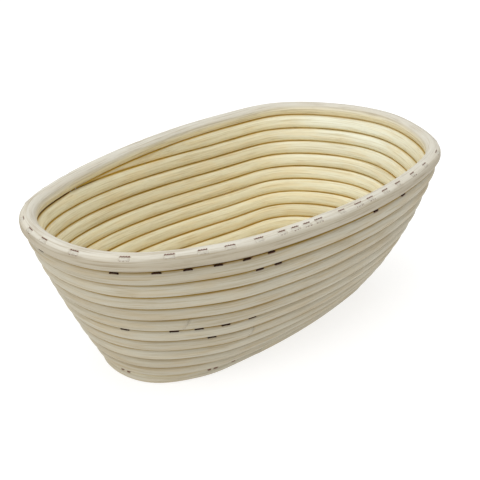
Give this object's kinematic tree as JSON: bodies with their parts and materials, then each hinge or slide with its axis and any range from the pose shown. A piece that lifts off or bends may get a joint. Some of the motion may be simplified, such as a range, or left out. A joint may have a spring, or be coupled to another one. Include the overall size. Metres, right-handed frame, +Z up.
{
  "type": "banneton basket",
  "caption": "Oval dough-proofing basket wound from round rattan cane, with flared walls, a thicker rim hoop and wire staples.",
  "frame": {"origin": "on the surface the basket stands on, under the centre of its bounding box", "axes": "+X along the basket's long side, away from the narrower end; +Y across it, towards the side where the strand's pared end lies under the rim; +Z up, out of the open mouth"},
  "size_m": [0.2472, 0.1503, 0.0811],
  "materials": {
    "pale_cane": "matte peeled rattan, cream",
    "wall_cane": "matte peeled rattan, yellowish beige",
    "floor_cane": "matte peeled rattan, yellowish beige",
    "staple_steel": "dull wire, slightly browned"
  },
  "bodies": {
    "root": {"floor_cane": "floor_cane", "lower_wall_cane": "wall_cane", "middle_wall_cane": "wall_cane", "upper_wall_cane": "wall_cane", "rim_cane": "pale_cane", "rim_staple_01": "staple_steel", "rim_staple_02": "staple_steel", "rim_staple_03": "staple_steel", "rim_staple_04": "staple_steel", "rim_staple_05": "staple_steel", "rim_staple_06": "staple_steel", "rim_staple_07": "staple_steel", "rim_staple_08": "staple_steel", "rim_staple_09": "staple_steel", "rim_staple_10": "staple_steel", "rim_staple_11": "staple_steel", "rim_staple_12": "staple_steel", "rim_staple_13": "staple_steel", "rim_staple_14": "staple_steel", "rim_staple_15": "staple_steel", "rim_staple_16": "staple_steel", "rim_staple_17": "staple_steel", "rim_staple_18": "staple_steel", "rim_staple_19": "staple_steel", "rim_staple_20": "staple_steel", "rim_staple_21": "staple_steel", "rim_staple_22": "staple_steel", "rim_staple_23": "staple_steel", "rim_staple_24": "staple_steel", "rim_staple_25": "staple_steel", "rim_staple_26": "staple_steel", "rim_staple_27": "staple_steel", "rim_staple_28": "staple_steel", "rim_staple_29": "staple_steel", "rim_staple_30": "staple_steel", "rim_staple_31": "staple_steel", "rim_staple_32": "staple_steel", "rim_staple_33": "staple_steel", "rim_staple_34": "staple_steel", "rim_staple_35": "staple_steel", "rim_staple_36": "staple_steel", "rim_groove_staple_01": "staple_steel", "rim_groove_staple_02": "staple_steel", "rim_groove_staple_03": "staple_steel", "rim_groove_staple_04": "staple_steel", "rim_groove_staple_05": "staple_steel", "rim_groove_staple_06": "staple_steel", "rim_groove_staple_07": "staple_steel", "rim_groove_staple_08": "staple_steel", "rim_groove_staple_09": "staple_steel", "wall_groove_staple_01": "staple_steel", "wall_groove_staple_02": "staple_steel", "wall_groove_staple_03": "staple_steel", "wall_groove_staple_04": "staple_steel", "wall_groove_staple_05": "staple_steel", "wall_groove_staple_06": "staple_steel", "wall_groove_staple_07": "staple_steel", "wall_groove_staple_08": "staple_steel"}
  },
  "joints": []
}
